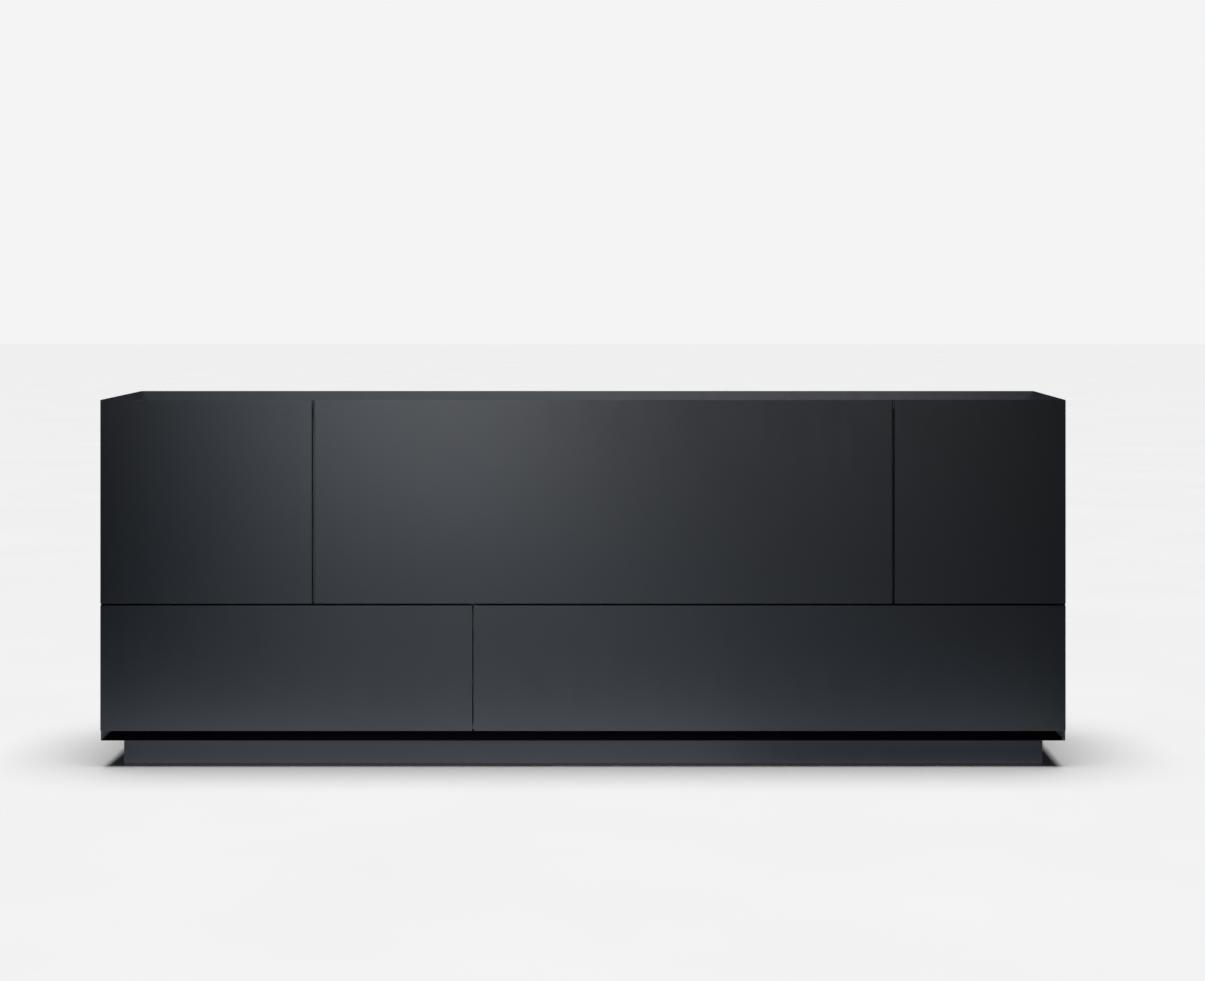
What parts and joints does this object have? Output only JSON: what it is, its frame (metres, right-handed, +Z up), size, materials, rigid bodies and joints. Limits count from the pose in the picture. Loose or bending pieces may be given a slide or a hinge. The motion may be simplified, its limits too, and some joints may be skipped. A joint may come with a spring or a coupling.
{
  "type": "sideboard",
  "caption": "Handleless lacquered sideboard on a recessed plinth: mitred carcass with sunken top, hinged doors, wide drop flap and drawers over a finger groove.",
  "frame": {"origin": "centre of the footprint, on the floor", "axes": "+Z up, front faces -Y, +X to the right as seen from the front"},
  "size_m": [2.1, 0.48, 0.8],
  "materials": {
    "lacquer": "satin anthracite lacquer",
    "groove_black": "matt black lacquer",
    "melamine": "matt graphite melamine",
    "drawer_lining": "fine textile-textured grey foil",
    "steel": "zinc-plated, satin"
  },
  "bodies": {
    "carcass": {"side_panel_left": "lacquer", "side_panel_right": "lacquer", "bottom_panel": "groove_black", "rear_rim_rail": "lacquer", "top_panel": "lacquer", "deck_panel": "melamine", "back_panel": "melamine", "partition_left": "melamine", "partition_right": "melamine", "drawer_partition": "melamine", "shelf": "melamine", "plinth_front": "lacquer", "plinth_rear": "lacquer", "plinth_left": "lacquer", "plinth_right": "lacquer", "left_door_hinge_arm_lower": "steel", "left_door_hinge_arm_upper": "steel", "right_door_hinge_arm_lower": "steel", "right_door_hinge_arm_upper": "steel", "flap_hinge_arm_left": "steel", "flap_hinge_arm_right": "steel", "stay_left_housing": "steel", "stay_right_housing": "steel", "left_drawer_runner_left_cabinet": "steel", "left_drawer_runner_right_cabinet": "steel", "right_drawer_runner_left_cabinet": "steel", "right_drawer_runner_right_cabinet": "steel"},
    "left_door": {"left_door": "lacquer", "left_door_hinge_cup_lower": "steel", "left_door_hinge_cup_upper": "steel"},
    "right_door": {"right_door": "lacquer", "right_door_hinge_cup_lower": "steel", "right_door_hinge_cup_upper": "steel"},
    "flap": {"flap": "lacquer", "flap_hinge_cup_left": "steel", "flap_hinge_cup_right": "steel", "stay_left_bracket": "steel", "stay_right_bracket": "steel"},
    "stay_left_lever": {"stay_left_lever": "steel"},
    "stay_left_link": {"stay_left_link": "steel"},
    "stay_right_lever": {"stay_right_lever": "steel"},
    "stay_right_link": {"stay_right_link": "steel"},
    "left_drawer": {"left_drawer_front": "lacquer", "left_drawer_side_left": "drawer_lining", "left_drawer_side_right": "drawer_lining", "left_drawer_back": "drawer_lining", "left_drawer_base": "drawer_lining", "left_drawer_runner_left_drawer": "steel", "left_drawer_runner_right_drawer": "steel"},
    "left_drawer_slide_left": {"left_drawer_runner_left_middle": "steel"},
    "left_drawer_slide_right": {"left_drawer_runner_right_middle": "steel"},
    "right_drawer": {"right_drawer_front": "lacquer", "right_drawer_side_left": "drawer_lining", "right_drawer_side_right": "drawer_lining", "right_drawer_back": "drawer_lining", "right_drawer_base": "drawer_lining", "right_drawer_runner_left_drawer": "steel", "right_drawer_runner_right_drawer": "steel"},
    "right_drawer_slide_left": {"right_drawer_runner_left_middle": "steel"},
    "right_drawer_slide_right": {"right_drawer_runner_right_middle": "steel"}
  },
  "joints": [
    {"name": "left_door_swing", "type": "hinge", "parent": "carcass", "child": "left_door", "pos_m": [-1.05, -0.24, 0.5785], "axis": [0, 0, -1], "range_deg": [0, 100]},
    {"name": "right_door_swing", "type": "hinge", "parent": "carcass", "child": "right_door", "pos_m": [1.05, -0.24, 0.5785], "axis": [0, 0, 1], "range_deg": [0, 100]},
    {"name": "flap_drop", "type": "hinge", "parent": "carcass", "child": "flap", "pos_m": [0.044, -0.24, 0.357], "axis": [1, 0, 0], "range_deg": [0, 90]},
    {"name": "stay_left_lever_swing", "type": "hinge", "parent": "carcass", "child": "stay_left_lever", "pos_m": [-0.567, -0.188, 0.461], "axis": [1, 0, 0], "range_deg": [0, 90]},
    {"name": "stay_left_link_swing", "type": "hinge", "parent": "stay_left_lever", "child": "stay_left_link", "pos_m": [-0.567, -0.151, 0.694], "axis": [-1, 0, 0], "range_deg": [0, 90]},
    {"name": "stay_right_lever_swing", "type": "hinge", "parent": "carcass", "child": "stay_right_lever", "pos_m": [0.655, -0.188, 0.461], "axis": [1, 0, 0], "range_deg": [0, 90]},
    {"name": "stay_right_link_swing", "type": "hinge", "parent": "stay_right_lever", "child": "stay_right_link", "pos_m": [0.655, -0.151, 0.694], "axis": [-1, 0, 0], "range_deg": [0, 90]},
    {"name": "left_drawer_slide", "type": "slide", "parent": "carcass", "child": "left_drawer", "axis": [0, -1, 0], "range_m": [0, 0.36]},
    {"name": "left_drawer_left_member_slide", "type": "slide", "parent": "carcass", "child": "left_drawer_slide_left", "axis": [0, -1, 0], "range_m": [0, 0.18]},
    {"name": "left_drawer_right_member_slide", "type": "slide", "parent": "carcass", "child": "left_drawer_slide_right", "axis": [0, -1, 0], "range_m": [0, 0.18]},
    {"name": "right_drawer_slide", "type": "slide", "parent": "carcass", "child": "right_drawer", "axis": [0, -1, 0], "range_m": [0, 0.36]},
    {"name": "right_drawer_left_member_slide", "type": "slide", "parent": "carcass", "child": "right_drawer_slide_left", "axis": [0, -1, 0], "range_m": [0, 0.18]},
    {"name": "right_drawer_right_member_slide", "type": "slide", "parent": "carcass", "child": "right_drawer_slide_right", "axis": [0, -1, 0], "range_m": [0, 0.18]}
  ],
  "couplings": [
    {"joint": "stay_left_lever_swing", "follows": "flap_drop", "ratio": 1},
    {"joint": "stay_left_link_swing", "follows": "flap_drop", "ratio": 1},
    {"joint": "stay_right_lever_swing", "follows": "flap_drop", "ratio": 1},
    {"joint": "stay_right_link_swing", "follows": "flap_drop", "ratio": 1},
    {"joint": "left_drawer_left_member_slide", "follows": "left_drawer_slide", "ratio": 0.5},
    {"joint": "left_drawer_right_member_slide", "follows": "left_drawer_slide", "ratio": 0.5},
    {"joint": "right_drawer_left_member_slide", "follows": "right_drawer_slide", "ratio": 0.5},
    {"joint": "right_drawer_right_member_slide", "follows": "right_drawer_slide", "ratio": 0.5}
  ]
}
